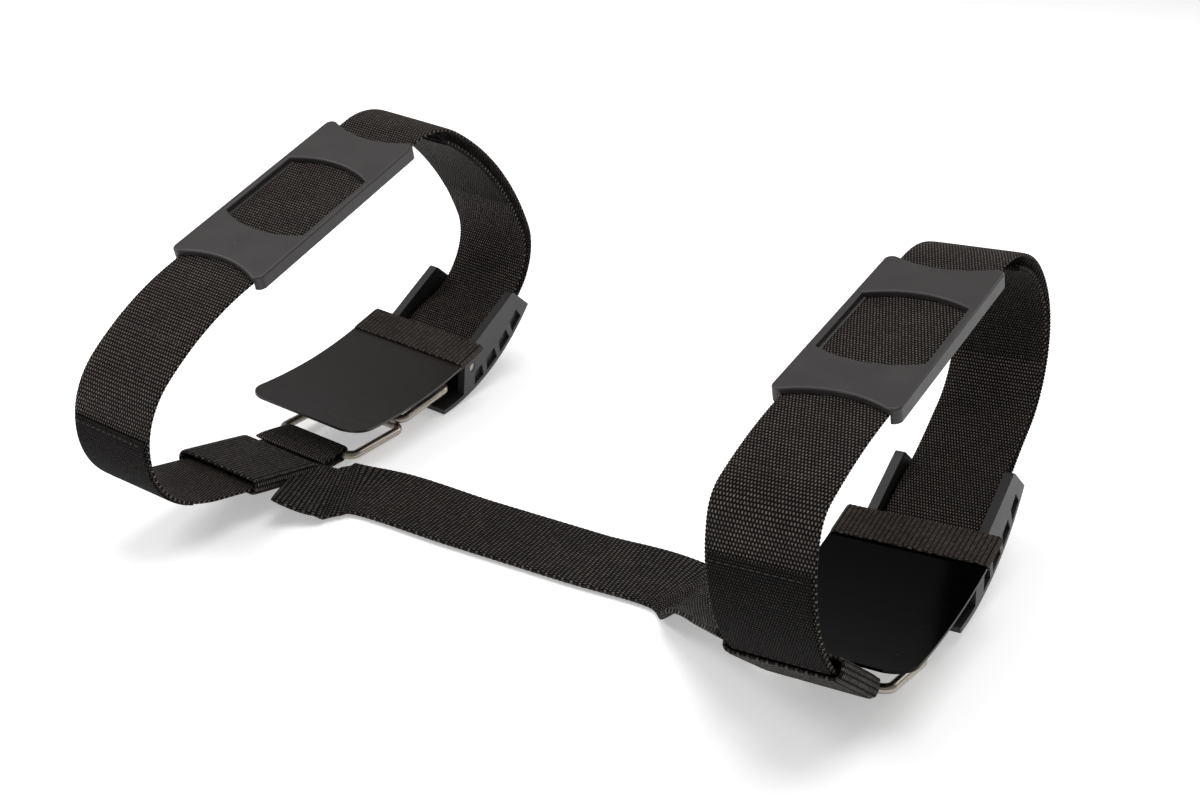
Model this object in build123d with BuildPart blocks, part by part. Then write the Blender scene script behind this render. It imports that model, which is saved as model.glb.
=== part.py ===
"""Pair of quick-release webbing bands joined by a link strap.

Each band is a loop of 50 mm webbing. It runs from a catch ring, round the front, through a sliding pad,
over the crest and into a ribbed buckle frame, where it turns back round a bar and lies inside itself.
A bail hinged in the frame hooks over the catch ring, and a plastic tongue covers the two rings.

Row frame: X runs along the axis of both bands, Y away from the front, Z up, and the floor is Z = 0.
Every band is drawn from the side, in a plane of its own (u towards +Y, v up, w along the band's axis).
"""

import math
import os

from build123d import *

os.makedirs("parts", exist_ok=True)

# Webbing
webbing_width = 50.0
webbing_thickness = 2.0
fabric_gap = 0.3
patch_thickness = 1.0
layer_gap = 6.5
free_end_short = 30.0
free_end_rise = 22.0
loop_patch_length = 60.0
hook_patch_length = 90.0
patch_inset = 1.5
pad_clear = 3.5
frame_run = (62.0, -22.0)
wrap_turn = 160.0
fold_turn = 190.0
fold_tail = 22.0

# Sliding pad
pad_length = 137.0
pad_rail = 4.0
pad_side_clearance = 1.0
pad_face_thickness = 3.0
pad_back_thickness = 2.0
pad_slot_clearance = 0.3
pad_end_hollow = 9.3
pad_window_length = 52.0
pad_window_width = webbing_width + 2 * pad_side_clearance
pad_width = pad_window_width + 2 * pad_rail
pad_window_bulge = 6.7
pad_bar_width = 12.0
pad_bar_place = 44.0
pad_lip_radius = 1.2
pad_corner = 4.0

# Buckle frame
frame_skin = 3.0
frame_wall = 5.0
frame_side_clearance = 2.0
frame_width = webbing_width + 2 * (frame_side_clearance + frame_wall)
frame_radius = 115.0
frame_sweep = 50.0
frame_top_depth = 23.0
frame_low_depth = 29.0
frame_wall_sweep = 40.0
wall_corner = 2.5
frame_entry_gap = 0.6
pocket_depth = 2.5
rib_width = 2.5
rim_width = 2.6
bar_radius = 2.5
bar_clearance = 0.05
pivot_sweep = 44.0
pivot_depth = 12.0
knuckle_radius = 5.6

# Rings
ring_bar_radius = 2.5
ring_side_room = 3.0
ring_width = webbing_width + ring_side_room
ring_length = 47.0
ring_corner = 6.0
ring_clearance = 0.4
ring_straight = ring_width - 2 * ring_corner
knuckle_width = ring_straight + 1.0

# Tongue and keeper
tongue_overhang = 9.0
tongue_width = frame_width + 2 * tongue_overhang
tongue_thickness = 1.5
tongue_corner = 14.0
tongue_bend = [(20, 0), (46, -10), (54, -10)]
keeper_side_room = 1.5
keeper_width = 22.0
keeper_thickness = 1.4
keeper_lift = 2.6

# Link strap and its end loops
link_thickness = 3.0
link_start = (-112.0, -21.0)
link_end = (76.0, -6.0)
link_bury = 1.0
loop_side_gap = 1.4
loop_wall = 2.0
loop_corner = 2.4
stitch_width = 1.6
stitch_height = 0.7
stitch_length = webbing_width - 8.0
seam_inset = 8.0

# Places of the two bands on the floor, and how each of them leans, turns and is bent
BANDS = {
    "left": {
        "foot": (-170.0, -14.0),
        "lean": -2.5,
        "pad_height": 162.5,
        "pad_slope": 17.1,
        "front": [(62, 24), (35.5, 49), (52, 64), (22, 12.6), (105, 0)],
        "back": [(39, -46), (115, -32), (52, -80)],
        "frame_heading": 232.0,
        "keeper_sweep": 39.0,
        "patch_from": 165.0,
        "loop_before_ring": 56.0,
        "loop_room": 5.4,
        "link_side": 1,
        "bail_angle": 185.0,
        "catch_angle": -1.5,
    },
    "right": {
        "foot": (180.0, 14.0),
        "lean": 6.0,
        "pad_height": 164.7,
        "pad_slope": 8.8,
        "front": [(51, 12), (17, 54), (60, 46), (27, 20), (54, 0)],
        "back": [(92, -70), (79, -91), (33, 7)],
        "frame_heading": 229.8,
        "keeper_sweep": 36.4,
        "patch_from": 155.0,
        "loop_before_ring": 42.0,
        "loop_room": 7.2,
        "link_side": -1,
        "bail_angle": 185.5,
        "catch_angle": -11.0,
    },
}


def unit(angle):
    """A unit vector at an angle in degrees, in side view."""
    return Vector(math.cos(math.radians(angle)), math.sin(math.radians(angle)))


def left_of(angle):
    """The unit vector to the left of a heading."""
    return unit(angle + 90)


class Track:
    """A run of webbing in side view: a start, a heading, and stretches of (length, turn in degrees)."""

    def __init__(self, start, heading, stretches):
        self.start = Vector(*start)
        self.heading = heading
        self.stretches = stretches

    @property
    def length(self):
        return sum(length for length, _ in self.stretches)

    def at(self, distance):
        """The point and the heading at a distance along the track."""
        point, heading = self.start, self.heading
        for length, turn in self.stretches:
            part = min(1.0, distance / length)
            angle = turn * part
            chord = length * part
            if turn:
                half = math.radians(angle) / 2
                chord *= math.sin(half) / half if half else 1.0
            point = point + unit(heading + angle / 2) * chord
            heading += angle
            distance -= length
            if distance <= 0:
                break
        return point, heading

    def part(self, low, high):
        """The piece of this track between two distances, as a new track."""
        point, heading = self.at(low)
        stretches, passed = [], 0.0
        for length, turn in self.stretches:
            share = (min(high, passed + length) - max(low, passed)) / length
            if share > 1e-6:
                stretches.append((length * share, turn * share))
            passed += length
        return Track(point, heading, stretches)

    def inside(self, gap):
        """The track that lies this far to its right, run backwards."""
        point, heading = self.at(self.length)
        stretches = [(length + gap * math.radians(turn), -turn) for length, turn in reversed(self.stretches)]
        return Track(point - left_of(heading) * gap, heading + 180, stretches)

    def draw(self, offset):
        """Draw the track shifted to its left, inside a BuildLine, and return its two ends."""
        first = self.start + left_of(self.heading) * offset
        point, heading = first, self.heading
        for length, turn in self.stretches:
            if turn:
                radius = length / math.radians(abs(turn)) - offset * math.copysign(1, turn)
                arc = JernArc(start=point, tangent=unit(heading), radius=radius, arc_size=turn)
                point = arc @ 1
            else:
                run = Line(point, point + unit(heading) * length)
                point = run @ 1
            heading += turn
        return first, point


def two_arcs(start, heading, end, end_heading):
    """Two tangent arcs, as stretches, that join one point and heading to another."""
    chord = end - start
    line = math.degrees(math.atan2(chord.Y, chord.X))
    first = math.radians((heading - line + 180) % 360 - 180)
    last = math.radians((end_heading - line + 180) % 360 - 180)
    middle = -(first + last) / 2
    stretches = []
    for low, high in ((first, middle), (middle, last)):
        turn = high - low
        half = turn / 2
        span = chord.length / 2 / math.cos((low + high) / 2)
        length = span * (half / math.sin(half) if abs(half) > 1e-6 else 1.0)
        stretches.append((length, math.degrees(turn)))
    return stretches


def ribbon(plane, track, low, high):
    """The side face of a ribbon that lies between two offsets to the left of a track."""
    with BuildSketch(plane) as face:
        with BuildLine():
            low_start, low_end = track.draw(low)
            high_start, high_end = track.draw(high)
            Line(low_start, high_start)
            Line(low_end, high_end)
        make_face()
    return face.sketch


def side_plane(band):
    """The plane that a band is drawn in, through its middle, square to its axis."""
    lean = math.radians(band["lean"])
    return Plane(origin=(*band["foot"], 0), x_dir=(0, 1, 0), z_dir=(math.cos(lean), 0, math.sin(lean)))


def station(plane, point, heading):
    """A plane at a point of the side view: x along the heading, z to its left, y along the band."""
    origin = plane.from_local_coords((point.X, point.Y, 0))
    along = unit(heading)
    left = left_of(heading)
    x_dir = plane.from_local_coords((point.X + along.X, point.Y + along.Y, 0)) - origin
    z_dir = plane.from_local_coords((point.X + left.X, point.Y + left.Y, 0)) - origin
    return Plane(origin=origin, x_dir=x_dir, z_dir=z_dir)


def save(piece, name):
    """Label a finished piece and write it as one STEP file."""
    piece.label = name
    export_step(piece, f"parts/{name}.step")


def make_strap(side, plane, front, fold, back):
    """The band's webbing, from its fold round the catch ring to its free end inside the crest."""
    half = webbing_thickness / 2
    fold_width = ring_straight - 2 * fabric_gap
    with BuildPart() as strap:
        extrude(ribbon(plane, front, -half, half), amount=webbing_width / 2, both=True)
        extrude(ribbon(plane, fold, -half, half), amount=fold_width / 2, both=True)
        extrude(ribbon(plane, back, -half, half), amount=webbing_width / 2, both=True)
    save(strap.part, f"band_strap_{side}")


def make_patches(side, plane, patch_from, front, inner):
    """The soft loop patch on the outside of the front, and the hook patch inside the free end."""
    low = webbing_thickness / 2
    high = low + patch_thickness
    loop_track = front.part(patch_from, patch_from + loop_patch_length)
    patch_half = webbing_width / 2 - patch_inset
    with BuildPart() as loop_patch:
        extrude(ribbon(plane, loop_track, -high, -low), amount=patch_half, both=True)
    save(loop_patch.part, f"loop_patch_{side}")
    hook_track = inner.part(inner.length - hook_patch_length, inner.length - 2 * patch_inset)
    with BuildPart() as hook_patch:
        extrude(ribbon(plane, hook_track, low, high), amount=patch_half, both=True)
    save(hook_patch.part, f"hook_patch_{side}")


def pad_outline(plane):
    """The pad seen from outside: straight rails and two hollow ends with rounded corners."""
    half_length = pad_length / 2
    half_width = pad_width / 2
    with BuildSketch(plane) as outline:
        with BuildLine():
            right = ThreePointArc(
                (half_length, -half_width), (half_length - pad_end_hollow, 0), (half_length, half_width)
            )
            left = ThreePointArc(
                (-half_length, -half_width), (-half_length + pad_end_hollow, 0), (-half_length, half_width)
            )
            Line(right @ 0, left @ 0)
            Line(right @ 1, left @ 1)
        make_face()
        fillet(outline.vertices(), pad_corner)
    return outline.sketch


def pad_window(plane):
    """The pad's window: straight sides, and ends that bulge outwards."""
    half_length = pad_window_length / 2
    half_width = pad_window_width / 2
    with BuildSketch(plane) as window:
        with BuildLine():
            right = ThreePointArc(
                (half_length, -half_width), (half_length + pad_window_bulge, 0), (half_length, half_width)
            )
            left = ThreePointArc(
                (-half_length, -half_width), (-half_length - pad_window_bulge, 0), (-half_length, half_width)
            )
            Line(right @ 0, left @ 0)
            Line(right @ 1, left @ 1)
        make_face()
    return window.sketch


def make_pad(side, plane, band):
    """The moulded pad that slides on the webbing, with rails, two bridges and two bars behind the webbing."""
    centre = Vector(0, band["pad_height"])
    face = station(plane, centre, band["pad_slope"])
    slot = webbing_thickness + 2 * pad_slot_clearance
    depth = pad_face_thickness + slot + pad_back_thickness
    with BuildPart() as pad:
        extrude(pad_outline(face), amount=-depth)
        with BuildSketch(face.offset(-pad_face_thickness)) as channel:
            Rectangle(pad_length + 1, pad_window_width)
        extrude(amount=-(depth - pad_face_thickness) - 1, mode=Mode.SUBTRACT)
        extrude(pad_window(face), amount=-depth - 1, mode=Mode.SUBTRACT)
        with BuildSketch(face.offset(-depth)) as bars:
            with Locations((-pad_bar_place, 0), (pad_bar_place, 0)):
                Rectangle(pad_bar_width, pad_window_width + 2)
        extrude(amount=pad_back_thickness)
        outward = Axis(face.origin, face.z_dir)
        fillet(pad.faces().filter_by(outward).sort_by(outward)[-1].edges(), pad_lip_radius)
    save(pad.part, f"slider_pad_{side}")


def arc_point(start, heading, radius, sweep):
    """The point and heading after a right-hand arc."""
    chord = 2 * radius * math.sin(math.radians(sweep) / 2)
    return start + unit(heading - sweep / 2) * chord, heading - sweep


class Frame:
    """Places on the buckle frame, by how far its outer skin has swept and how deep below the skin."""

    def __init__(self, start, heading):
        self.start = start
        self.heading = heading

    def at(self, sweep, depth=0.0):
        point, heading = arc_point(self.start, self.heading, frame_radius, sweep)
        return point - left_of(heading) * depth

    def heading_at(self, sweep):
        return self.heading - sweep


def wall_outline(plane, frame):
    """The side view of one wall: an arc outside and a nearly straight edge inside."""
    with BuildSketch(plane) as outline:
        with BuildLine():
            low, high = frame.at(0), frame.at(frame_wall_sweep)
            ThreePointArc(low, frame.at(frame_wall_sweep / 2), high)
            top = frame.at(0, frame_top_depth)
            bottom = frame.at(frame_wall_sweep - 4, frame_low_depth)
            Line(low, top)
            Line(top, bottom)
            Line(bottom, high)
        make_face()
        fillet(outline.vertices(), wall_corner)
    return outline.sketch


def make_frame(side, plane, frame, bar_centre, pivot):
    """The buckle frame: a curved skin, two ribbed side walls, a tail lip and the bail's knuckle."""
    skin = Track(frame.start, frame.heading, [(frame_radius * math.radians(frame_sweep), -frame_sweep)])
    half = frame_width / 2
    with BuildPart() as body:
        extrude(ribbon(plane, skin, -frame_skin, 0), amount=half, both=True)
        for lower in (half - frame_wall, -half):
            extrude(wall_outline(plane.offset(lower), frame), amount=frame_wall)
        with BuildSketch(plane) as knuckle:
            with Locations(pivot):
                Circle(knuckle_radius)
            with BuildLine():
                foot_a = frame.at(pivot_sweep - 4, frame_skin / 2)
                foot_b = frame.at(pivot_sweep + 3, frame_skin / 2)
                along = unit(frame.heading_at(pivot_sweep))
                Polyline(
                    foot_a,
                    pivot - along * knuckle_radius * 0.9,
                    pivot + along * knuckle_radius * 0.9,
                    foot_b,
                    close=True,
                )
            make_face()
        extrude(amount=knuckle_width / 2, both=True)
        with BuildSketch(plane) as pin_hole:
            with Locations(bar_centre):
                Circle(bar_radius + bar_clearance)
        extrude(amount=half + 1, both=True, mode=Mode.SUBTRACT)
        with BuildSketch(plane) as pivot_hole:
            with Locations(pivot):
                Circle(ring_bar_radius + ring_clearance)
        extrude(amount=half + 1, both=True, mode=Mode.SUBTRACT)
        for lower in (half - pocket_depth, -half):
            extrude(pocket_faces(plane.offset(lower), frame), amount=pocket_depth, mode=Mode.SUBTRACT)
    save(body.part, f"buckle_frame_{side}")


def pocket_faces(plane, frame):
    """The four pockets between the ribs on the outside of a wall."""
    edges = [3.5, 11.5, 19.5, 27.5, 34.5]
    slant = 3.0
    with BuildSketch(plane) as pockets:
        for low, high in zip(edges[:-1], edges[1:]):
            gap = math.degrees(rib_width / frame_radius)
            with BuildLine():
                Polyline(
                    frame.at(low + gap, rim_width),
                    frame.at(high - gap / 2, rim_width),
                    frame.at(high - gap / 2 - slant / 2, rim_width + 8.5),
                    frame.at(low + gap - slant / 2 + 1, rim_width + 8.5),
                    close=True,
                )
            make_face()
    return pockets.sketch


def make_wrap_bar(side, plane, centre):
    """The steel bar across the frame that the webbing turns round."""
    with BuildPart() as bar:
        with BuildSketch(plane):
            with Locations(centre):
                Circle(bar_radius)
        extrude(amount=frame_width / 2 - 0.5, both=True)
    save(bar.part, f"wrap_bar_{side}")


def make_ring(name, plane, hinge, angle):
    """A rounded rectangular steel ring, from its hinged bar towards an angle in side view."""
    ring_plane = station(plane, hinge, angle)
    with BuildSketch(ring_plane) as outline:
        with Locations((ring_length / 2, 0)):
            RectangleRounded(ring_length, ring_width, ring_corner)
    path = outline.sketch.wires()[0]
    with BuildPart() as ring:
        with BuildSketch(Plane(origin=path @ 0, z_dir=path % 0)):
            Circle(ring_bar_radius)
        sweep(path=path)
    save(ring.part, name)


def make_tongue(side, plane, start, heading):
    """The thin plastic tongue that covers the rings, tucked into the keeper at its upper end."""
    track = Track(start, heading, tongue_bend)
    with BuildPart() as tongue:
        extrude(
            ribbon(plane, track, -tongue_thickness / 2, tongue_thickness / 2), amount=tongue_width / 2, both=True
        )
        corners = tongue.edges().filter_by(GeomType.LINE)
        corners = [edge for edge in corners if abs(edge.length - tongue_thickness) < 0.01]
        fillet(corners, tongue_corner)
    save(tongue.part, f"ring_guard_{side}")


def make_keeper(side, plane, centre, heading):
    """The flattened webbing loop that holds the tongue's end across the frame's walls."""
    inside = tongue_thickness + 2 * fabric_gap
    outside = inside + 2 * keeper_thickness
    length = tongue_width + 2 * (keeper_side_room + keeper_thickness)
    mid = station(plane, centre, heading)
    cut = Plane(origin=mid.origin - mid.x_dir * keeper_width / 2, x_dir=mid.y_dir, z_dir=mid.x_dir)
    with BuildPart() as keeper:
        with BuildSketch(cut):
            SlotOverall(length, outside)
            SlotOverall(length - 2 * keeper_thickness, inside, mode=Mode.SUBTRACT)
        extrude(amount=keeper_width)
    save(keeper.part, f"keeper_{side}")


def make_fold_seam(side, plane, fold_tail_track):
    """The two rows of stitching that hold the fold round the catch ring's lower bar."""
    face = webbing_thickness / 2
    with BuildPart() as seam:
        for row in (0.3, 0.6):
            middle = fold_tail_track.length * row
            stitch = fold_tail_track.part(middle, middle + stitch_width)
            extrude(ribbon(plane, stitch, -face - stitch_height, -face), amount=ring_straight / 2 - 1, both=True)
    save(seam.part, f"fold_seam_{side}")


def make_link_loop(side, mid, room):
    """The sewn end loop of the link strap: a flat tube of webbing round the band."""
    inner_width = webbing_width + 2 * loop_side_gap
    outer_width = inner_width + 2 * loop_wall
    outer_room = room + 2 * loop_wall
    lift = room / 2 - webbing_thickness / 2 - fabric_gap
    start = Plane(origin=mid.origin - mid.x_dir * webbing_width / 2, x_dir=mid.y_dir, z_dir=mid.x_dir)
    with BuildPart() as loop:
        with BuildSketch(start):
            with Locations((0, lift)):
                RectangleRounded(outer_width, outer_room, loop_corner)
                RectangleRounded(inner_width, room, loop_corner, mode=Mode.SUBTRACT)
        extrude(amount=webbing_width)
    save(loop.part, f"link_loop_{side}")


def loop_end(mid, side_sign, room):
    """The plane across the link strap where it grows out of an end loop's fold."""
    lift = room / 2 - webbing_thickness / 2 - fabric_gap
    reach = webbing_width / 2 + loop_side_gap + loop_wall - link_bury
    origin = mid.origin - mid.y_dir * reach * side_sign + mid.z_dir * lift
    return Plane(origin=origin, x_dir=mid.x_dir, z_dir=-mid.y_dir)


def make_link(ends):
    """The link strap: flat on the floor in the middle, with an end that rises to each band's loop."""
    start = Vector(*link_start, link_thickness / 2)
    finish = Vector(*link_end, link_thickness / 2)
    along = (finish - start).normalized()
    across = Vector(0, 0, 1).cross(along)
    first = Plane(origin=start, x_dir=across, z_dir=along)
    last = Plane(origin=finish, x_dir=across, z_dir=along)
    with BuildPart() as link:
        with BuildSketch(first):
            Rectangle(webbing_width, link_thickness)
        extrude(amount=(finish - start).length)
        for low, high in ((ends["left"], first), (last, ends["right"])):
            with BuildSketch(low):
                Rectangle(webbing_width, link_thickness)
            with BuildSketch(high):
                Rectangle(webbing_width, link_thickness)
            loft(ruled=True)
    save(link.part, "link_strap")
    for side, seam_plane, way in (("left", first, 1), ("right", last, -1)):
        seam_start = seam_plane.origin + along * seam_inset * way
        top = Plane(origin=seam_start + Vector(0, 0, link_thickness / 2), x_dir=along, z_dir=(0, 0, 1))
        with BuildPart() as seam:
            with BuildSketch(top):
                with GridLocations(3 * stitch_width, 0, 3, 1):
                    Rectangle(stitch_width, stitch_length)
            extrude(amount=stitch_height)
        save(seam.part, f"link_seam_{side}")


link_ends = {}
for side, band in BANDS.items():
    plane = side_plane(band)
    slope = band["pad_slope"]
    webbing_depth = pad_face_thickness + pad_slot_clearance + webbing_thickness / 2
    middle = Vector(0, band["pad_height"]) - left_of(slope) * webbing_depth
    straight = pad_length / 2 + pad_clear
    wrap_radius = bar_radius + fabric_gap + webbing_thickness / 2

    # Front of the band, down to the fold round the catch ring's lower bar
    front_run = Track(middle, slope + 180, [(straight, 0), *band["front"]])
    ring_point, ring_heading = front_run.at(front_run.length)
    fold_arc = wrap_radius * math.radians(fold_turn)
    fold = Track(ring_point, ring_heading, [(fold_arc, fold_turn), (fold_tail, 0)])
    catch_hinge = ring_point + left_of(ring_heading) * wrap_radius

    # Back of the band: over the crest, into the frame, round the bar and back up inside
    entry_run = Track(middle, slope, [(straight, 0), *band["back"]])
    entry, entry_heading = entry_run.at(entry_run.length)
    wrap = (wrap_radius * math.radians(wrap_turn), -wrap_turn)
    to_bar = Track(entry, entry_heading, [frame_run])
    bar_point, bar_heading = to_bar.at(to_bar.length)
    bar_centre = bar_point - left_of(bar_heading) * wrap_radius
    around = Track(entry, entry_heading, [frame_run, wrap])
    leave, leave_heading = around.at(around.length)
    crest_run = entry_run.part(straight + free_end_short, entry_run.length - free_end_rise)
    free = crest_run.inside(layer_gap)
    rise = two_arcs(leave, leave_heading, free.start, free.heading)
    inner = Track(leave, leave_heading, [*rise, *free.stretches])
    back = Track(middle, slope, [*entry_run.stretches, frame_run, wrap, *inner.stretches])

    frame_out = webbing_thickness / 2 + frame_entry_gap + frame_skin
    frame = Frame(entry + left_of(band["frame_heading"]) * frame_out, band["frame_heading"])
    pivot = frame.at(pivot_sweep, pivot_depth)
    keeper_half = (tongue_thickness + 2 * fabric_gap + 2 * keeper_thickness) / 2
    keeper_centre = frame.at(band["keeper_sweep"], frame_low_depth + keeper_lift + keeper_half)
    keeper_heading = frame.heading_at(band["keeper_sweep"])

    make_strap(side, plane, front_run, fold, back)
    make_patches(side, plane, band["patch_from"], front_run, inner)
    make_pad(side, plane, band)
    make_frame(side, plane, frame, bar_centre, pivot)
    make_wrap_bar(side, plane, bar_centre)
    make_ring(f"bail_ring_{side}", plane, pivot, band["bail_angle"])
    make_ring(f"catch_ring_{side}", plane, catch_hinge, band["catch_angle"])
    make_keeper(side, plane, keeper_centre, keeper_heading)
    tongue_start = keeper_centre - unit(keeper_heading) * (keeper_width / 2 - 1)
    make_tongue(side, plane, tongue_start, keeper_heading)
    make_fold_seam(side, plane, fold.part(fold_arc, fold.length))
    loop_point, loop_heading = front_run.at(front_run.length - band["loop_before_ring"])
    loop_middle = station(plane, loop_point, loop_heading)
    make_link_loop(side, loop_middle, band["loop_room"])
    link_ends[side] = loop_end(loop_middle, band["link_side"], band["loop_room"])

make_link(link_ends)
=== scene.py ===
"""Pair of quick-release webbing bands joined by a link strap, in webbing, plastic and steel."""

import math

import bmesh
import bpy
from mathutils import Euler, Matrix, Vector


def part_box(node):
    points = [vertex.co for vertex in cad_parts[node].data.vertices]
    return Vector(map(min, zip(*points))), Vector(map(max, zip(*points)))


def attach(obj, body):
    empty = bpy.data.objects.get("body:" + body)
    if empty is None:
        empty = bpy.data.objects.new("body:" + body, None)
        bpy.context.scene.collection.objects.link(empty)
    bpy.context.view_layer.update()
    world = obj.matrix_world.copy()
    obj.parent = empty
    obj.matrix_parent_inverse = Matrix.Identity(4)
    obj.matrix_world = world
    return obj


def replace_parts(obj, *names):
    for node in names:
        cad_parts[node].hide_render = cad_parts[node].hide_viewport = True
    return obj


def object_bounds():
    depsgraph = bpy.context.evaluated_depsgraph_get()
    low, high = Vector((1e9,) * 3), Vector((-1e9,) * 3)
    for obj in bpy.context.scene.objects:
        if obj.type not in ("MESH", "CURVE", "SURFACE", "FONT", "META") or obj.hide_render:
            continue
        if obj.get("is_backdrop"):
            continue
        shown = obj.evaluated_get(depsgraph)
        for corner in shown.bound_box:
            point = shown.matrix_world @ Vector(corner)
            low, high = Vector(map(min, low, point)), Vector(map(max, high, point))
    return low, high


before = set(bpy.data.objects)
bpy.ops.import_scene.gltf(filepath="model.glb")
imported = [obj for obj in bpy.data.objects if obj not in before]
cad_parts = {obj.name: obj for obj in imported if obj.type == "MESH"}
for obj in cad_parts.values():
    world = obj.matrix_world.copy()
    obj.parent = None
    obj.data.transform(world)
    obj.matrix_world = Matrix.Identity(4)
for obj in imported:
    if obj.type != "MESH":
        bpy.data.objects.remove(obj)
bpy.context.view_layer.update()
MM = 0.001
SIDES = ("left", "right")


# Camera: a slightly long lens that looks down on the pair from the front right.
camera_data = bpy.data.cameras.new("camera")
camera_data.lens = 49.7
camera_data.clip_start = 0.01
camera = bpy.data.objects.new("camera", camera_data)
camera.location = (0.3997, -0.6405, 0.4604)
camera.rotation_euler = Euler([math.radians(a) for a in (63.51, -2.25, 31.77)])
bpy.context.scene.collection.objects.link(camera)
bpy.context.scene.camera = camera


# Studio: a white paper floor and an even white surround, with a broad soft light overhead, a key light from
# the front left, and a window-like light behind, which gives the guards and the rings their highlights.
def srgb(code):
    """An sRGB hex colour, such as "4a4648", as linear RGBA."""
    parts = [int(code[i : i + 2], 16) / 255 for i in (0, 2, 4)]
    return (*[c / 12.92 if c <= 0.04045 else ((c + 0.055) / 1.055) ** 2.4 for c in parts], 1.0)


def node(tree, kind, inputs=None, **settings):
    """Add a shader node, set its settings, and set or link its inputs (a value, or another node's socket)."""
    made = tree.nodes.new(kind)
    for key, value in settings.items():
        setattr(made, key, value)
    for key, value in (inputs or {}).items():
        if isinstance(value, bpy.types.NodeSocket):
            tree.links.new(value, made.inputs[key])
        else:
            made.inputs[key].default_value = value
    return made


def new_material(name):
    """A material with an empty node tree and its output."""
    material = bpy.data.materials.new(name)
    material.use_nodes = True
    tree = material.node_tree
    tree.nodes.clear()
    return material, tree, tree.nodes.new("ShaderNodeOutputMaterial")


floor_mesh = bpy.data.meshes.new("floor")
half_floor = 4.0
corners = [(x * half_floor, y * half_floor, 0) for x, y in ((-1, -1), (1, -1), (1, 1), (-1, 1))]
floor_mesh.from_pydata(corners, [], [(0, 1, 2, 3)])
floor = bpy.data.objects.new("floor", floor_mesh)
floor.location.z = -0.0005
bpy.context.scene.collection.objects.link(floor)
floor_paper, tree, out = new_material("white_studio_paper")
paper = node(
    tree, "ShaderNodeBsdfPrincipled",
    {"Base Color": srgb("fbfbfb"), "Roughness": 0.9,
     "Emission Color": srgb("ffffff"), "Emission Strength": 0.38},
)
tree.links.new(paper.outputs[0], out.inputs[0])
floor_mesh.materials.append(floor_paper)
floor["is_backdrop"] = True

world = bpy.data.worlds.new("studio")
world.use_nodes = True
world.node_tree.nodes["Background"].inputs["Color"].default_value = (1.0, 1.0, 1.0, 1.0)
world.node_tree.nodes["Background"].inputs["Strength"].default_value = 0.32
bpy.context.scene.world = world
for name, size, power, place, aim in (
    ("overhead", 1.5, 17.0, (0.0, 0.0, 1.7), (0.0, 0.0, 0.0)),
    ("key", 0.6, 6.0, (-0.9, -0.5, 0.9), (0.0, 0.0, 0.08)),
    ("window", 0.5, 3.0, (0.5, 1.3, 0.6), (0.1, 0.0, 0.05)),
):
    light = bpy.data.lights.new(name, "AREA")
    light.shape = "RECTANGLE"
    light.size = size
    light.size_y = size * 0.7
    light.energy = power
    lamp = bpy.data.objects.new(name, light)
    lamp.location = place
    lamp.rotation_euler = (Vector(aim) - Vector(place)).to_track_quat("-Z", "Y").to_euler()
    bpy.context.scene.collection.objects.link(lamp)
bpy.context.scene.view_settings.view_transform = "Standard"


# Band webbing: 50 mm polyester webbing, black, woven in rows of small raised knots with a scalloped selvedge.
# One length runs from its fold round the catch ring, up the front, through the pad, over the crest, into the
# buckle frame, round the frame's bar and back up inside itself. Sizes are in millimetres, turns in degrees.
WEB_WIDTH = 50.0
WEB_THICK = 2.0
FABRIC_GAP = 0.3
ROW_PITCH = 1.9
KNOT_PITCH = 1.55
PAD_HALF_RUN = 72.0
PAD_FACE_DEPTH = 4.3
BAR_RADIUS = 2.5
BANDS = {
    "left": {
        "foot": (-170.0, -14.0), "lean": -2.5, "height": 162.5, "slope": 17.1, "keeper_heading": 193.0,
        "front": [(62, 24), (35.5, 49), (52, 64), (22, 12.6), (105, 0)],
        "back": [(39, -46), (115, -32), (52, -80)],
        "patch_from": 165.0, "loop_before_ring": 56.0, "loop_room": 5.4, "link_side": 1,
    },
    "right": {
        "foot": (180.0, 14.0), "lean": 6.0, "height": 164.7, "slope": 8.8, "keeper_heading": 193.4,
        "front": [(51, 12), (17, 54), (60, 46), (27, 20), (54, 0)],
        "back": [(92, -70), (79, -91), (33, 7)],
        "patch_from": 155.0, "loop_before_ring": 42.0, "loop_room": 7.2, "link_side": -1,
    },
}
FRAME_RUN = (62.0, -22.0)
WRAP_TURN = 160.0
FOLD_TURN = 190.0
FOLD_TAIL = 22.0
FOLD_MIDDLE = 6.0
PUCKER_RUN = 26.0
PUCKER_SHARE = 0.17
LAYER_GAP = 6.5
FREE_END_SHORT = 30.0
FREE_END_RISE = 22.0


def way(angle):
    """A unit vector in side view."""
    return Vector((math.cos(math.radians(angle)), math.sin(math.radians(angle))))


def walk(start, heading, stretches, distance):
    """The point and heading at a distance along a run of (length, turn) stretches."""
    point = start.copy()
    for length, turn in stretches:
        share = min(1.0, distance / length)
        half = math.radians(turn * share) / 2
        chord = length * share * (math.sin(half) / half if abs(half) > 1e-9 else 1.0)
        point += way(heading + turn * share / 2) * chord
        heading += turn * share
        distance -= length
        if distance <= 0:
            break
    return point, heading


def total(stretches):
    """The length of a run."""
    return sum(length for length, _ in stretches)


def cut(stretches, low, high):
    """The stretches between two distances along a run."""
    kept, passed = [], 0.0
    for length, turn in stretches:
        share = (min(high, passed + length) - max(low, passed)) / length
        if share > 1e-6:
            kept.append((length * share, turn * share))
        passed += length
    return kept


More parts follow.
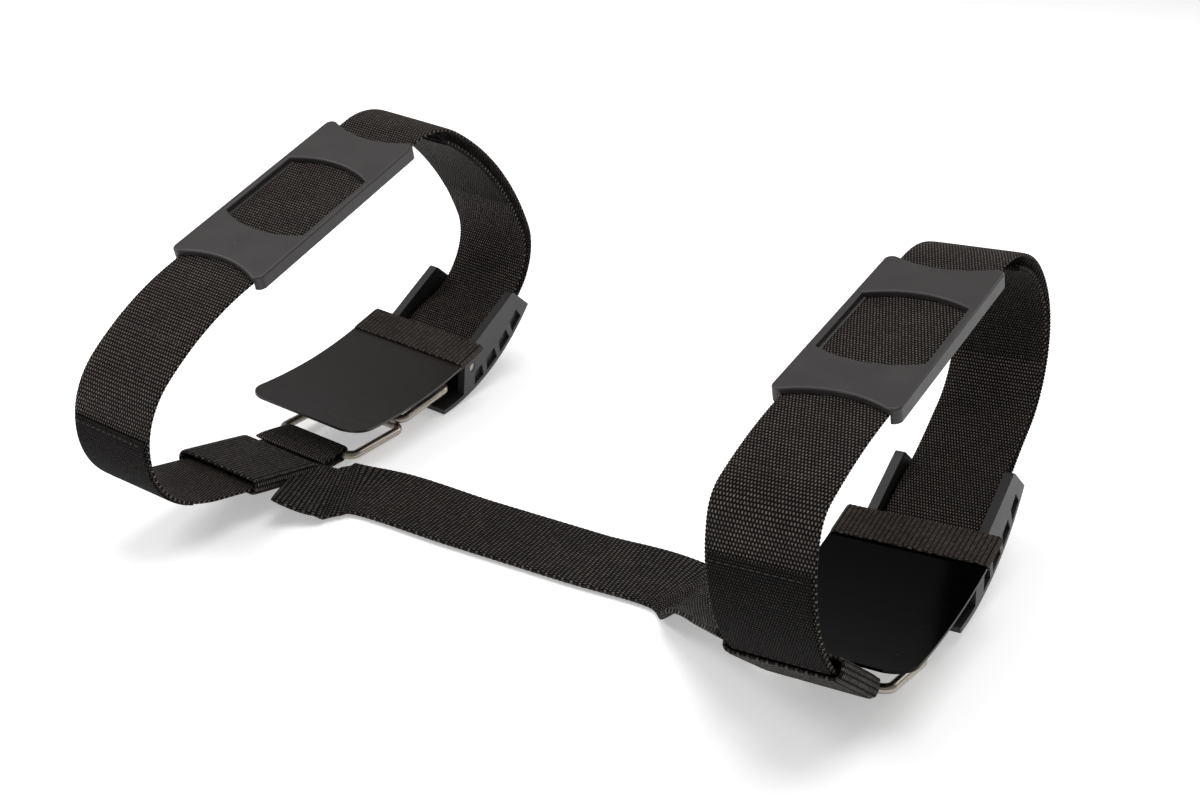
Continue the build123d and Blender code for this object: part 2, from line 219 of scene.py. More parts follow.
def two_arcs(start, heading, end, end_heading):
    """Two tangent arcs that join one point and heading to another."""
    chord = end - start
    line = math.degrees(math.atan2(chord.y, chord.x))
    first = math.radians((heading - line + 180) % 360 - 180)
    last = math.radians((end_heading - line + 180) % 360 - 180)
    middle = -(first + last) / 2
    made = []
    for low, high in ((first, middle), (middle, last)):
        half = (high - low) / 2
        span = chord.length / 2 / math.cos((low + high) / 2)
        made.append((span * (half / math.sin(half) if abs(half) > 1e-6 else 1.0), math.degrees(high - low)))
    return made


def place(side, point, across=0.0):
    """A point of a band's side view, at a distance along the band's axis, in metres."""
    band = BANDS[side]
    lean = math.radians(band["lean"])
    x = band["foot"][0] - math.sin(lean) * point.y + math.cos(lean) * across
    z = math.cos(lean) * point.y + math.sin(lean) * across
    return Vector((x, band["foot"][1] + point.x, z)) * MM


def turn_to_row(side, direction):
    """A direction of the side view in the row's frame."""
    return (place(side, direction) - place(side, Vector((0, 0)))).normalized()


def axis_of(side):
    """The band's own axis."""
    return (place(side, Vector((0, 0)), 1.0) - place(side, Vector((0, 0)))).normalized()


def ribbon(name, rows, width, thickness, material, closed=False, scallop=0.16, cup=0.0):
    """A woven strap as one closed mesh.

    Each row is (centre, across, out, distance in mm, share of the width). The selvedge is thinner than the
    middle and steps in and out by the scallop, knot by knot. A positive cup bends the edges down.
    """
    selvedge = 0.45
    half_spots = [0.22, 0.42, 0.6, 0.75, 0.88, 0.95, 0.985, 1]
    spots = [-spot for spot in reversed(half_spots)] + [0] + half_spots
    points, where = [], []
    for index, (centre, across, out, distance, share) in enumerate(rows):
        knot = scallop * math.cos(math.pi * index)
        for face, run in ((1, spots), (-1, spots[::-1])):
            for spot in run:
                full = (1 - abs(spot) ** 14) ** 0.5 if abs(spot) < 1 else 0.0
                side_step = spot * (width / 2 * share + knot * (abs(spot) > 0.9))
                lift = face * thickness / 2 * (selvedge + (1 - selvedge) * full)
                lift -= cup * spot * spot
                points.append(centre + across * side_step * MM + out * lift * MM)
                where.append((distance * MM, spot * width / 2 * share * MM))
    ring = len(spots) * 2
    count = len(rows)
    faces = []
    for row in range(count if closed else count - 1):
        nxt = (row + 1) % count
        for k in range(ring):
            k2 = (k + 1) % ring
            faces.append((row * ring + k, row * ring + k2, nxt * ring + k2, nxt * ring + k))
    if not closed:
        faces.append(tuple(range(ring - 1, -1, -1)))
        faces.append(tuple(range((count - 1) * ring, count * ring)))
    mesh = bpy.data.meshes.new(name)
    mesh.from_pydata(points, [], faces)
    uv = mesh.uv_layers.new(name="weave")
    step = rows[1][3] - rows[0][3]
    for face in mesh.polygons:
        on_joint = closed and face.index >= (count - 1) * ring
        for loop in face.loop_indices:
            vertex = mesh.loops[loop].vertex_index
            u, v = where[vertex]
            if on_joint and vertex < ring:
                u += count * step * MM
            uv.data[loop].uv = (u, v)
    mesh.validate()
    mesh.shade_smooth()
    piece = bpy.data.objects.new(name, mesh)
    bpy.context.scene.collection.objects.link(piece)
    mesh.materials.append(material)
    work = bmesh.new()
    work.from_mesh(mesh)
    bmesh.ops.recalc_face_normals(work, faces=work.faces)
    work.to_mesh(mesh)
    work.free()
    return piece


def webbing(name, row, knot, thread, pale_knot_highlight, gap, roughness, depth):
    """Woven polyester: raised knots in staggered rows over dark gaps, with fine fibres and uneven wear.

    The row and knot pitches and the bump depth are in mm. The knots' colours run from thread to
    pale_knot_highlight, partly painted highlight, and each knot's colour is scaled by its height: a painted
    highlight on its crown that falls to painted shade at its edges. The gap colour is partly painted shade.
    """
    material, tree, out = new_material(name)
    coords = node(tree, "ShaderNodeUVMap", uv_map="weave")
    grid = node(
        tree, "ShaderNodeMapping",
        {"Vector": coords.outputs[0], "Rotation": (0, 0, math.pi / 2), "Scale": (1000, 1000, 1000)},
    )
    spot = node(tree, "ShaderNodeTexCoord").outputs["Object"]
    warp = node(tree, "ShaderNodeTexNoise", {"Vector": spot, "Scale": 240.0, "Detail": 2.0})
    middle_grey = (0.5, 0.5, 0.5)
    shift = node(
        tree, "ShaderNodeVectorMath", {0: warp.outputs["Color"], 1: middle_grey}, operation="SUBTRACT"
    )
    small = node(tree, "ShaderNodeVectorMath", {0: shift.outputs[0], "Scale": 0.5}, operation="SCALE")
    bent = node(tree, "ShaderNodeVectorMath", {0: grid.outputs[0], 1: small.outputs[0]}, operation="ADD")
    # The knot colours carry a painted highlight, and the gap colour is partly painted shade.
    knots = node(
        tree, "ShaderNodeTexBrick",
        {"Vector": bent.outputs[0], "Color1": srgb(thread), "Color2": srgb(pale_knot_highlight), "Mortar": srgb(gap),
         "Scale": 1.0, "Mortar Size": min(row, knot) * 0.42, "Mortar Smooth": 1.0, "Bias": 0.0,
         "Brick Width": knot, "Row Height": row},
        offset=0.5, offset_frequency=2,
    )
    height = node(tree, "ShaderNodeMath", {0: 1.0, 1: knots.outputs["Fac"]}, operation="SUBTRACT")
    wear = node(
        tree, "ShaderNodeTexNoise", {"Vector": spot, "Scale": 45.0, "Detail": 5.0, "Roughness": 0.6}
    )
    fade = node(
        tree, "ShaderNodeMapRange",
        {"Value": wear.outputs[0], "From Min": 0.3, "From Max": 0.7, "To Min": 0.8, "To Max": 1.12},
    )
    shade = node(tree, "ShaderNodeMix", {"Factor": 1.0}, data_type="RGBA", blend_type="MULTIPLY")
    tree.links.new(knots.outputs["Color"], shade.inputs[6])
    # Painted highlight and shade: each knot's colour is scaled by its height, bright at the crown and dark at
    # the edges.
    crown_highlight_gain = 1.7
    raised = node(tree, "ShaderNodeMath", {0: height.outputs[0], 1: crown_highlight_gain}, operation="MULTIPLY")
    lit = node(tree, "ShaderNodeMath", {0: raised.outputs[0], 1: fade.outputs[0]}, operation="MULTIPLY")
    tree.links.new(lit.outputs[0], shade.inputs[7])
    fibres = node(tree, "ShaderNodeTexNoise", {"Vector": spot, "Scale": 2600.0, "Detail": 2.0})
    fuzz = node(
        tree, "ShaderNodeMath", {0: fibres.outputs[0], 1: 0.25, 2: height.outputs[0]},
        operation="MULTIPLY_ADD",
    )
    bump = node(tree, "ShaderNodeBump", {"Height": fuzz.outputs[0], "Distance": depth * MM, "Strength": 1.0})
    rough = node(
        tree, "ShaderNodeMapRange",
        {"Value": height.outputs[0], "To Min": min(1.0, roughness + 0.3), "To Max": roughness},
    )
    cloth = node(
        tree, "ShaderNodeBsdfPrincipled",
        {"Base Color": shade.outputs[2], "Roughness": rough.outputs[0], "Normal": bump.outputs[0], "IOR": 1.5,
         "Specular IOR Level": 0.12},
    )
    tree.links.new(cloth.outputs[0], out.inputs[0])
    return material


# Near-black brown webbing whose knots catch the light as rows of small warm grey dots, painted in as
# highlights.
band_webbing = webbing(
    "band_webbing_woven_polyester", ROW_PITCH, KNOT_PITCH, "453e3b", "5a534e", "010101", 0.6, 0.9
)


def band_runs(side):
    """The band's front run, fold and back run, each as (start, heading, stretches)."""
    band = BANDS[side]
    middle = Vector((0, band["height"])) - way(band["slope"] + 90) * PAD_FACE_DEPTH
    wrap_radius = BAR_RADIUS + FABRIC_GAP + WEB_THICK / 2
    front = [(PAD_HALF_RUN, 0), *band["front"]]
    fold = [(wrap_radius * math.radians(FOLD_TURN), FOLD_TURN), (FOLD_TAIL, 0)]
    over = [(PAD_HALF_RUN, 0), *band["back"]]
    entry, entry_heading = walk(middle, band["slope"], over, total(over))
    around = [FRAME_RUN, (wrap_radius * math.radians(WRAP_TURN), -WRAP_TURN)]
    leave, leave_heading = walk(entry, entry_heading, around, total(around))
    crest = cut(over, PAD_HALF_RUN + FREE_END_SHORT, total(over) - FREE_END_RISE)
    top, top_heading = walk(middle, band["slope"], over, total(over) - FREE_END_RISE)
    inner_start = top - way(top_heading + 90) * LAYER_GAP
    inner = [(length + LAYER_GAP * math.radians(turn), -turn) for length, turn in reversed(crest)]
    rise = two_arcs(leave, leave_heading, inner_start, top_heading + 180)
    return middle, front, fold, [*over, *around, *rise, *inner]


def band_rows(side, start, heading, stretches, low, high, offset, step, out_sign, shares=None):
    """Rows of a ribbon along a stretch of a band, at an offset outwards from the webbing's middle."""
    rows = []
    count = max(2, round((high - low) / step))
    for index in range(count + 1):
        distance = low + (high - low) * index / count
        point, bearing = walk(start, heading, stretches, distance)
        out = way(bearing + 90) * out_sign
        share = shares(distance) if shares else 1.0
        centre = place(side, point + out * offset)
        rows.append((centre, axis_of(side), turn_to_row(side, out), distance, share))
    return rows


for side in SIDES:
    band = BANDS[side]
    middle, front, fold, back = band_runs(side)
    down = [*front, *fold]
    ring_at = total(front)

    def pucker(distance, ring_at=ring_at):
        """The webbing draws in to the ring's width at the fold."""
        near = max(0.0, 1 - abs(distance - ring_at - FOLD_MIDDLE) / PUCKER_RUN)
        return 1 - PUCKER_SHARE * near * near * (3 - 2 * near)

    half_row = ROW_PITCH / 2
    front_rows = band_rows(side, middle, band["slope"] + 180, down, 0, total(down), 0, half_row, -1, pucker)
    back_rows = band_rows(side, middle, band["slope"], back, 0, total(back), 0, half_row, 1)
    rows = [(c, a, o, -d, s) for c, a, o, d, s in reversed(front_rows)] + back_rows[1:]
    strap = ribbon(f"band_webbing_{side}", rows, WEB_WIDTH, WEB_THICK, band_webbing)
    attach(strap, "webbing")
    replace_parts(strap, f"band_strap_{side}")


# Patches: tape with a soft loop pile on the band's lower front, and hook tape inside the free end.
# Each is cut a little narrower than the webbing and sewn flat to it; the weave is finer and the black deeper.
PATCH_THICK = 1.0
PATCH_WIDTH = 47.0
PATCH_STEP = 1.5
LOOP_PATCH_LENGTH = 60.0
HOOK_PATCH_LENGTH = 87.0
HOOK_PATCH_INSET = 3.0
# Deep matt black with a barely visible pile, so the patch reads darker than the webbing round it.
loop_pile = webbing("loop_pile_tape", 1.5, 1.2, "1a1716", "282422", "020202", 0.8, 0.5)
# Dark and dull, a little greyer than the loop pile, seen only inside the crest.
hook_tape = webbing("hook_tape", 1.7, 1.4, "2c2725", "403a36", "020202", 0.6, 0.6)
for side in SIDES:
    band = BANDS[side]
    middle, front, fold, back = band_runs(side)
    offset = WEB_THICK / 2 + PATCH_THICK / 2
    low = band["patch_from"]
    high = low + LOOP_PATCH_LENGTH
    rows = band_rows(side, middle, band["slope"] + 180, front, low, high, offset, PATCH_STEP, -1)
    patch = ribbon(f"loop_patch_tape_{side}", rows, PATCH_WIDTH, PATCH_THICK, loop_pile, scallop=0.0)
    end = total(back) - HOOK_PATCH_INSET
    low = end - HOOK_PATCH_LENGTH
    rows = band_rows(side, middle, band["slope"], back, low, end, offset, PATCH_STEP, 1)
    hooks = ribbon(f"hook_patch_tape_{side}", rows, PATCH_WIDTH, PATCH_THICK, hook_tape, scallop=0.0)
    for piece, kind, slot in ((patch, "loop_patch", "loop_pile"), (hooks, "hook_patch", "hook_tape")):
        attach(piece, "webbing")
        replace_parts(piece, f"{kind}_{side}")


# Keepers: a short loop of narrow ribbed webbing, pressed flat, that lies across the frame's two walls
# and holds the guard's upper end. The ribs run across its width, and its folded ends stick out.
KEEPER_HALF = 39.0
KEEPER_WIDTH = 22.0
KEEPER_THICK = 1.4
KEEPER_ROOM = 2.1
KEEPER_STEP = 1.3
RIB_PITCH = 2.6
RIB_HEIGHT = 0.066
# Narrow dark ribs with lighter crests, a painted highlight, which show as close stripes across the keeper.
keeper_webbing = webbing("keeper_ribbed_webbing", RIB_PITCH, 0.9, "48413d", "5f5751", "010101", 0.6, 0.95)
for side in SIDES:
    low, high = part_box(f"keeper_{side}")
    centre = (low + high) / 2
    heading = BANDS[side]["keeper_heading"]
    along, out = turn_to_row(side, way(heading)), turn_to_row(side, way(heading + 90))
    axis = axis_of(side)
    radius = (KEEPER_ROOM + KEEPER_THICK) / 2
    straight = KEEPER_HALF * 2
    bend = math.pi * radius
    length = 2 * (straight + bend)
    count = 2 * round(length / KEEPER_STEP / 2)
    rows = []
    for index in range(count):
        d = length * index / count
        if d < straight:
            spot, normal = (d - KEEPER_HALF, radius), Vector((0, 1))
        elif d < straight + bend:
            a = math.pi / 2 - (d - straight) / radius
            normal = Vector((math.cos(a), math.sin(a)))
            spot = (KEEPER_HALF + normal.x * radius, normal.y * radius)
        elif d < 2 * straight + bend:
            spot, normal = (KEEPER_HALF - (d - straight - bend), -radius), Vector((0, -1))
        else:
            a = -math.pi / 2 - (d - 2 * straight - bend) / radius
            normal = Vector((math.cos(a), math.sin(a)))
            spot = (-KEEPER_HALF + normal.x * radius, normal.y * radius)
        rib = RIB_HEIGHT * math.cos(2 * math.pi * d / RIB_PITCH)
        face = axis * normal.x + out * normal.y
        point = centre + (axis * spot[0] + out * spot[1] + face * rib) * MM
        rows.append((point, along, face, d, 1.0))
    keeper = ribbon(
        f"keeper_webbing_{side}", rows, KEEPER_WIDTH, KEEPER_THICK, keeper_webbing, closed=True, scallop=0.12
    )
    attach(keeper, f"frame_{side}")
    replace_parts(keeper, f"keeper_{side}")


# Link strap: two layers of coarser ribbed webbing, sewn together. Its middle lies flat, and each end rises,
# turning as it goes, to a flat sewn loop that a band passes through.
LOOP_SIDE_GAP = 1.4
LOOP_WALL = 2.0
LOOP_CORNER = 3.4
LOOP_STEP = 1.15
LOOP_LAP = 1.0
LINK_THICK = 3.0
LINK_CUP = 0.5
FLOOR_GAP = 0.2
# A coarser, darker weave than the bands, with ribs that show at the strap's turns; the rib crests carry
# painted highlights.
link_webbing = webbing("link_ribbed_webbing", 2.3, 1.7, "3b3633", "524c48", "010101", 0.6, 0.95)
link_ends = {}
for side in SIDES:
    band = BANDS[side]
    middle, front, fold, back = band_runs(side)
    run = total(front) - band["loop_before_ring"]
    point, bearing = walk(middle, band["slope"] + 180, front, run)
    along, inward = turn_to_row(side, way(bearing)), turn_to_row(side, way(bearing + 90))
    axis = axis_of(side)
    room = band["loop_room"]
    lift = room / 2 - WEB_THICK / 2 - FABRIC_GAP
    half_w = WEB_WIDTH / 2 + LOOP_SIDE_GAP + LOOP_WALL / 2
    half_h = room / 2 + LOOP_WALL / 2
    centre = place(side, point) + inward * lift * MM
    corner = min(half_h, LOOP_CORNER)
    rows = []
    flat_w, flat_h = 2 * (half_w - corner), 2 * (half_h - corner)
    arc = corner * math.pi / 2
    length = 2 * (flat_w + flat_h) + 4 * arc
    count = 2 * round(length / LOOP_STEP / 2)
    for index in range(count):
        d = length * index / count
        left = d
        spot = Vector((-flat_w / 2, half_h))
        for straight, quarter in ((flat_w, 0), (flat_h, 1), (flat_w, 2), (flat_h, 3)):
            heading = Vector((math.cos(-quarter * math.pi / 2), math.sin(-quarter * math.pi / 2)))
            normal = Vector((-heading.y, heading.x))
            if left <= straight:
                spot = spot + heading * left
                break
            spot = spot + heading * straight
            left -= straight
            pivot = spot - normal * corner
            if left <= arc:
                a = left / corner
                normal = normal * math.cos(a) + heading * math.sin(a)
                spot = pivot + normal * corner
                break
            spot = pivot + heading * corner
            left -= arc
        out = axis * normal.x + inward * normal.y
        rows.append((centre + axis * spot.x * MM + inward * spot.y * MM, along, out, d, 1.0))
    loop = ribbon(
        f"link_loop_webbing_{side}", rows, WEB_WIDTH, LOOP_WALL, link_webbing, closed=True, scallop=0.14
    )
    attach(loop, "webbing")
    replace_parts(loop, f"link_loop_{side}")
    end = centre + axis * (WEB_WIDTH / 2 + LOOP_SIDE_GAP + LOOP_WALL - LOOP_LAP) * band["link_side"] * MM
    link_ends[side] = (end, along)

flat_from, flat_to = Vector((-112, -21, 1.5)) * MM, Vector((76, -6, 1.5)) * MM
flat_along = (flat_to - flat_from).normalized()
flat_across = Vector((0, 0, 1)).cross(flat_along)
left_end, left_along = link_ends["left"]
right_end, right_along = link_ends["right"]
# Places on the strap's centre line, from left to right, each with the direction across the strap there.
stations = [
    (left_end, left_along),
    (left_end.lerp(flat_from, 0.5) + Vector((0, -3, -2)) * MM, left_along.lerp(flat_across, 0.45)),
    (flat_from, flat_across),
    (flat_from.lerp(flat_to, 0.35), flat_across),
    (flat_from.lerp(flat_to, 0.7), flat_across),
    (flat_to, flat_across),
    (flat_to.lerp(right_end, 0.3) + Vector((0, 0, 1)) * MM, flat_across.lerp(right_along, 0.35)),
    (flat_to.lerp(right_end, 0.65) + Vector((0, 0, -2)) * MM, flat_across.lerp(right_along, 0.8)),
    (right_end, right_along),
]


def smooth(values, t):
    """A Catmull-Rom curve through a list of vectors, at a place from 0 to 1."""
    spot = min(t * (len(values) - 1), len(values) - 1 - 1e-6)
    k = int(spot)
    f = spot - k
    a, b, c, d = (values[min(max(k + i, 0), len(values) - 1)] for i in (-1, 0, 1, 2))
    square, cube = 2 * a - 5 * b + 4 * c - d, 3 * b - a - 3 * c + d
    return 0.5 * (2 * b + (c - a) * f + square * f * f + cube * f * f * f)


centres = [s[0] for s in stations]
acrosses = [s[1].normalized() for s in stations]
rows, distance, last = [], 0.0, None
LINK_ROWS = 320
LOOK_AHEAD = 0.004
SQUARE_UP = 0.6
NARROW_FROM, NARROW_RUN, NARROW_SHARE = 0.6, 0.2, 0.16
for index in range(LINK_ROWS + 1):
    t = index / LINK_ROWS
    point = smooth(centres, t)
    ahead = smooth(centres, min(1.0, t + LOOK_AHEAD)) - smooth(centres, max(0.0, t - LOOK_AHEAD))
    across = smooth(acrosses, t)
    across = (across - ahead.normalized() * across.dot(ahead.normalized()) * SQUARE_UP).normalized()
    out = ahead.cross(across).normalized()
    if last is not None:
        distance += (point - last).length / MM
    last = point
    reach = abs(across.z) * WEB_WIDTH / 2 + abs(out.z) * (LINK_THICK / 2 + LINK_CUP) + FLOOR_GAP
    point = Vector((point.x, point.y, max(point.z, reach * MM)))
    draw = min(1.0, max(0.0, (t - NARROW_FROM) / NARROW_RUN))
    rows.append((point, across, out, distance, 1 - NARROW_SHARE * draw * draw * (3 - 2 * draw)))
link = ribbon("link_strap_webbing", rows, WEB_WIDTH, LINK_THICK, link_webbing, scallop=0.16, cup=-LINK_CUP)
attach(link, "webbing")
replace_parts(link, "link_strap")


# Stitching: bonded polyester thread in short bowed stitches, in rows across the webbing, pulled a little
# into it. Rows hold the fold round each catch ring, the link strap's ends and the loop patch on the front.
def thread_material(name):
    """Twisted thread: dark brown-black with a fine twist across it."""
    material, tree, out = new_material(name)
    coords = node(tree, "ShaderNodeTexCoord")
    twist = node(
        tree, "ShaderNodeTexWave", {"Vector": coords.outputs["Object"], "Scale": 900.0, "Distortion": 1.5},
        wave_type="BANDS",
    )
    tone = node(tree, "ShaderNodeMix", {"Factor": twist.outputs["Fac"]}, data_type="RGBA")
    tone.inputs[6].default_value = srgb("0a0908")
    tone.inputs[7].default_value = srgb("2c2724")
    bump = node(tree, "ShaderNodeBump", {"Height": twist.outputs["Fac"], "Distance": 0.1 * MM})
    cloth = node(
        tree, "ShaderNodeBsdfPrincipled",
        {"Base Color": tone.outputs[2], "Roughness": 0.5, "Normal": bump.outputs[0]},
    )
    tree.links.new(cloth.outputs[0], out.inputs[0])
    return material


# Black-brown thread with a faint gleam on each stitch.
thread = thread_material("bonded_polyester_thread")
STITCH_PARTS = 5
STITCH_SIDES = 6


def stitch_rows(name, lines, stitch=3.2, gap=0.9, radius=0.42):
    """Rows of stitches, each a short bowed thread. A line is (start, end, out), in metres."""
    points, faces = [], []
    for start, end, out in lines:
        along = (end - start).normalized()
        across = out.cross(along).normalized()
        count = int((end - start).length / ((stitch + gap) * MM))
        for index in range(count):
            first = start + along * (index * (stitch + gap)) * MM
            base = len(points)
            for part in range(STITCH_PARTS + 1):
                t = part / STITCH_PARTS
                bow = math.sin(math.pi * t)
                size = radius * (0.35 + 0.65 * bow) * MM
                spine = first + along * stitch * t * MM + out * (0.25 * bow - 0.12) * MM
                for k in range(STITCH_SIDES):
                    a = k * 2 * math.pi / STITCH_SIDES
                    points.append(spine + across * math.cos(a) * size + out * math.sin(a) * size)
            for part in range(STITCH_PARTS):
                low = base + part * STITCH_SIDES
                high = low + STITCH_SIDES
                for k in range(STITCH_SIDES):
                    after = (k + 1) % STITCH_SIDES
                    faces.append((low + k, low + after, high + after, high + k))
            faces.append(tuple(base + k for k in reversed(range(STITCH_SIDES))))
            faces.append(tuple(base + STITCH_PARTS * STITCH_SIDES + k for k in range(STITCH_SIDES)))
    mesh = bpy.data.meshes.new(name)
    mesh.from_pydata(points, [], faces)
    mesh.shade_smooth()
    mesh.materials.append(thread)
    piece = bpy.data.objects.new(name, mesh)
    bpy.context.scene.collection.objects.link(piece)
    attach(piece, "webbing")
    return piece


SEAM_HALF = 20.0
FRONT_SEAM_HALF = 22.5
for side in SIDES:
    band = BANDS[side]
    middle, front, fold, back = band_runs(side)
    down = [*front, *fold]
    axis = axis_of(side)
    lines = []
    for before in (7.0, 13.0):
        point, bearing = walk(middle, band["slope"] + 180, down, total(down) - before)
        out = way(bearing - 90)
        centre = place(side, point + out * (WEB_THICK / 2))
        half = axis * SEAM_HALF * MM
        lines.append((centre - half, centre + half, turn_to_row(side, out)))
    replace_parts(stitch_rows(f"fold_stitching_{side}", lines), f"fold_seam_{side}")
    low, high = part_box(f"link_seam_{side}")
    mid = (low + high) / 2
    lines = []
    for step in (-5.0, 0.0, 5.0):
        centre = Vector((mid.x, mid.y, low.z + 0.5 * MM)) + flat_along * step * MM
        half = flat_across * SEAM_HALF * MM
        lines.append((centre - half, centre + half, Vector((0, 0, 1))))
    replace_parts(stitch_rows(f"link_stitching_{side}", lines), f"link_seam_{side}")
    lines = []
    patch_end = band["patch_from"] + LOOP_PATCH_LENGTH
    for at in (PAD_HALF_RUN + 42.0, band["patch_from"] + 3.0, patch_end - 3.0):
        face = WEB_THICK / 2 + (PATCH_THICK if at > band["patch_from"] else 0)
        point, bearing = walk(middle, band["slope"] + 180, front, at)
        out = way(bearing - 90)
        centre = place(side, point + out * face)
        half = axis * FRONT_SEAM_HALF * MM
        lines.append((centre - half, centre + half, turn_to_row(side, out)))
    stitch_rows(f"front_stitching_{side}", lines, stitch=2.6, gap=1.0, radius=0.3)


# Moulded plastic: the sliding pads and the buckle frames are charcoal nylon with a fine spark-eroded grain.
# Their tone and gloss vary softly over the surface, and a few specks of dust lie on them.
def moulded(name, base, pale, roughness, grain_mm):
    """Charcoal nylon with an eroded grain, soft blotches and dust."""
    material, tree, out = new_material(name)
    coords = node(tree, "ShaderNodeTexCoord").outputs["Object"]
    grain = node(
        tree, "ShaderNodeTexNoise",
        {"Vector": coords, "Scale": 1 / (grain_mm * MM), "Detail": 3.0, "Roughness": 0.6},
    )
    blotch = node(tree, "ShaderNodeTexNoise", {"Vector": coords, "Scale": 60.0, "Detail": 4.0})
    tone = node(tree, "ShaderNodeMix", {"Factor": blotch.outputs[0]}, data_type="RGBA")
    tone.inputs[6].default_value = srgb(base)
    tone.inputs[7].default_value = srgb(pale)
    cells = node(tree, "ShaderNodeTexVoronoi", {"Vector": coords, "Scale": 140.0, "Randomness": 1.0})
    speck = node(
        tree, "ShaderNodeMapRange",
        {"Value": cells.outputs["Distance"], "From Min": 0.02, "From Max": 0.035,
         "To Min": 1.0, "To Max": 0.0},
    )
    pick = node(tree, "ShaderNodeSeparateColor", {0: cells.outputs["Color"]})
    some = node(tree, "ShaderNodeMath", {0: pick.outputs[0], 1: 0.82}, operation="GREATER_THAN")
    dust = node(tree, "ShaderNodeMath", {0: speck.outputs[0], 1: some.outputs[0]}, operation="MULTIPLY")
    dusted = node(tree, "ShaderNodeMix", {"Factor": dust.outputs[0]}, data_type="RGBA")
    tree.links.new(tone.outputs[2], dusted.inputs[6])
    dusted.inputs[7].default_value = srgb("9a9694")
    rough = node(
        tree, "ShaderNodeMapRange",
        {"Value": blotch.outputs[0], "To Min": roughness - 0.08, "To Max": roughness + 0.1},
    )
    bump = node(tree, "ShaderNodeBump", {"Height": grain.outputs[0], "Distance": 0.08 * MM, "Strength": 0.6})
    plastic = node(
        tree, "ShaderNodeBsdfPrincipled",
        {"Base Color": dusted.outputs[2], "Roughness": rough.outputs[0], "Normal": bump.outputs[0],
         "IOR": 1.53, "Specular IOR Level": 0.4},
    )
    tree.links.new(plastic.outputs[0], out.inputs[0])
    return material


# Charcoal grey with a soft broad shine, the palest of the plastics.
# The frames are the same nylon, darker.
pad_nylon = moulded("pad_moulded_nylon", "2a2727", "383534", 0.46, 0.5)
frame_nylon = moulded("frame_moulded_nylon", "201e1e", "2c2a2a", 0.46, 0.5)


def refinish(name, material):
    """Give a CAD piece its finish."""
    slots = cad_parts[name].data.materials
    if len(slots) == 0:
        slots.append(material)
    for index in range(len(slots)):
        slots[index] = material


for side in SIDES:
    refinish(f"slider_pad_{side}", pad_nylon)
    refinish(f"buckle_frame_{side}", frame_nylon)


# Rings and wrap bar: bent steel wire, welded and satin nickel plated, so warm grey with soft streaks.
def plated(name, colour, roughness):
    """Satin plated steel with fine drawn streaks and small rubbed places."""
    material, tree, out = new_material(name)
    coords = node(tree, "ShaderNodeTexCoord").outputs["Object"]
    drawn = node(tree, "ShaderNodeMapping", {"Vector": coords, "Scale": (300, 900, 900)})
    streak = node(tree, "ShaderNodeTexNoise", {"Vector": drawn.outputs[0], "Scale": 1.0, "Detail": 4.0})
    rubbed = node(tree, "ShaderNodeTexNoise", {"Vector": coords, "Scale": 90.0, "Detail": 3.0})
    rough = node(
        tree, "ShaderNodeMapRange",
        {"Value": rubbed.outputs[0], "From Min": 0.3, "From Max": 0.7,
         "To Min": roughness - 0.07, "To Max": roughness + 0.12},
    )
    bump = node(tree, "ShaderNodeBump", {"Height": streak.outputs[0], "Distance": 0.03 * MM, "Strength": 0.5})
    tone = node(tree, "ShaderNodeMix", {"Factor": rubbed.outputs[0]}, data_type="RGBA")
    tone.inputs[6].default_value = srgb(colour)
    tone.inputs[7].default_value = srgb("b5ada2")
    steel = node(
        tree, "ShaderNodeBsdfPrincipled",
        {"Base Color": tone.outputs[2], "Metallic": 1.0, "Roughness": rough.outputs[0],
         "Normal": bump.outputs[0]},
    )
    tree.links.new(steel.outputs[0], out.inputs[0])
    return material


# Warm grey metal with soft streaks; the bar's ends are a little duller than the rings.
ring_steel = plated("ring_satin_nickel_plated_steel", "8f877c", 0.28)
bar_steel = plated("bar_plated_steel", "857e75", 0.34)
for side in SIDES:
    for kind in ("bail_ring", "catch_ring"):
        refinish(f"{kind}_{side}", ring_steel)
    refinish(f"wrap_bar_{side}", bar_steel)


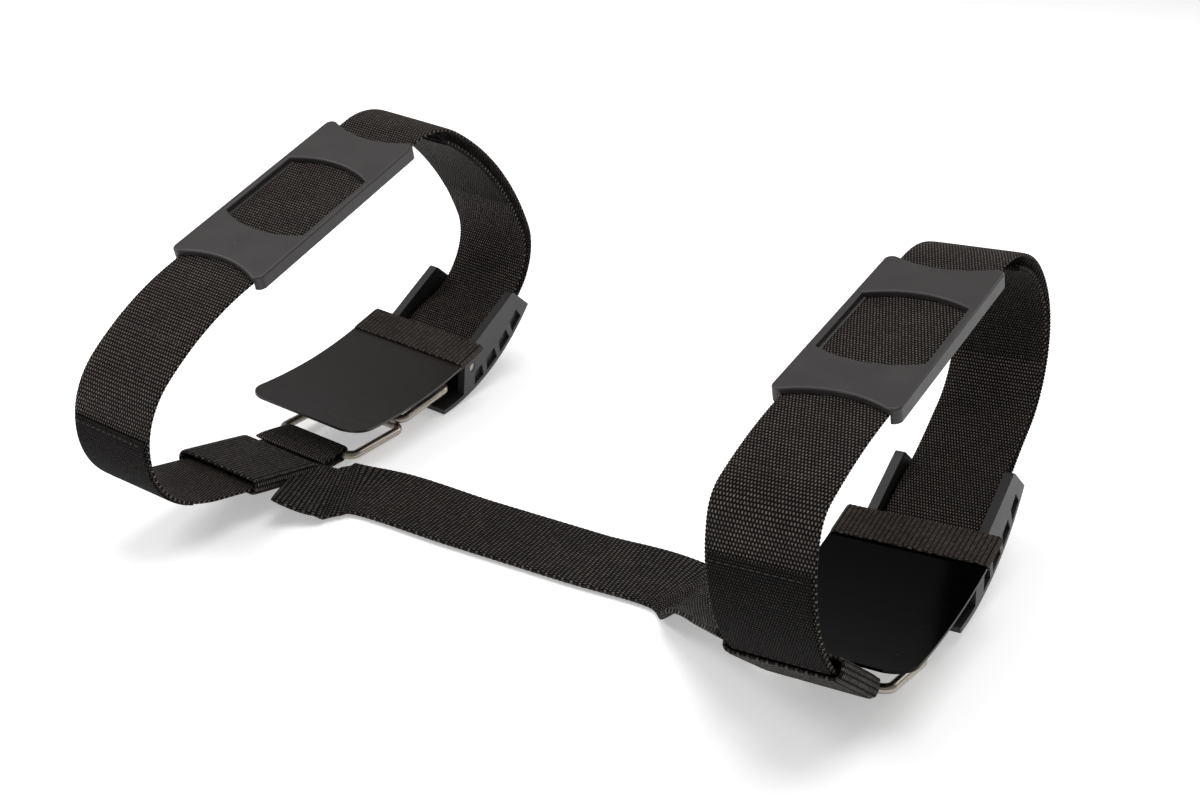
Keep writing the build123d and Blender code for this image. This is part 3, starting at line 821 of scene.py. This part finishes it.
# Ring guards: a tongue of thermoplastic sheet over the rings. The left one is satin, the right one is glossy,
# and both carry fine rub marks from the rings and a little dust.
def sheet_plastic(name, colour, roughness, shine):
    """Black-brown sheet plastic, with faint rub marks."""
    material, tree, out = new_material(name)
    coords = node(tree, "ShaderNodeTexCoord").outputs["Object"]
    stretched = node(
        tree, "ShaderNodeMapping", {"Vector": coords, "Scale": (40, 320, 320), "Rotation": (0, 0, 0.5)}
    )
    marks = node(
        tree, "ShaderNodeTexNoise",
        {"Vector": stretched.outputs[0], "Scale": 1.0, "Detail": 6.0, "Roughness": 0.7},
    )
    rough = node(
        tree, "ShaderNodeMapRange",
        {"Value": marks.outputs[0], "From Min": 0.35, "From Max": 0.75,
         "To Min": roughness, "To Max": roughness + 0.12},
    )
    wave = node(tree, "ShaderNodeTexNoise", {"Vector": coords, "Scale": 25.0, "Detail": 1.0})
    bump = node(tree, "ShaderNodeBump", {"Height": wave.outputs[0], "Distance": 0.6 * MM, "Strength": 0.4})
    cells = node(tree, "ShaderNodeTexVoronoi", {"Vector": coords, "Scale": 110.0})
    speck = node(
        tree, "ShaderNodeMapRange",
        {"Value": cells.outputs["Distance"], "From Min": 0.02, "From Max": 0.03,
         "To Min": 0.8, "To Max": 0.0},
    )
    tone = node(tree, "ShaderNodeMix", {"Factor": speck.outputs[0]}, data_type="RGBA")
    tone.inputs[6].default_value = srgb(colour)
    tone.inputs[7].default_value = srgb("7d7875")
    plastic = node(
        tree, "ShaderNodeBsdfPrincipled",
        {"Base Color": tone.outputs[2], "Roughness": rough.outputs[0], "Normal": bump.outputs[0],
         "IOR": 1.5, "Specular IOR Level": shine},
    )
    tree.links.new(plastic.outputs[0], out.inputs[0])
    return material


# The left guard is a soft brown-black, and the right one near black with a clear reflection.
refinish("ring_guard_left", sheet_plastic("guard_satin_sheet", "1f1918", 0.36, 0.4))
refinish("ring_guard_right", sheet_plastic("guard_gloss_sheet", "030202", 0.09, 0.08))


low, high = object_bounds()
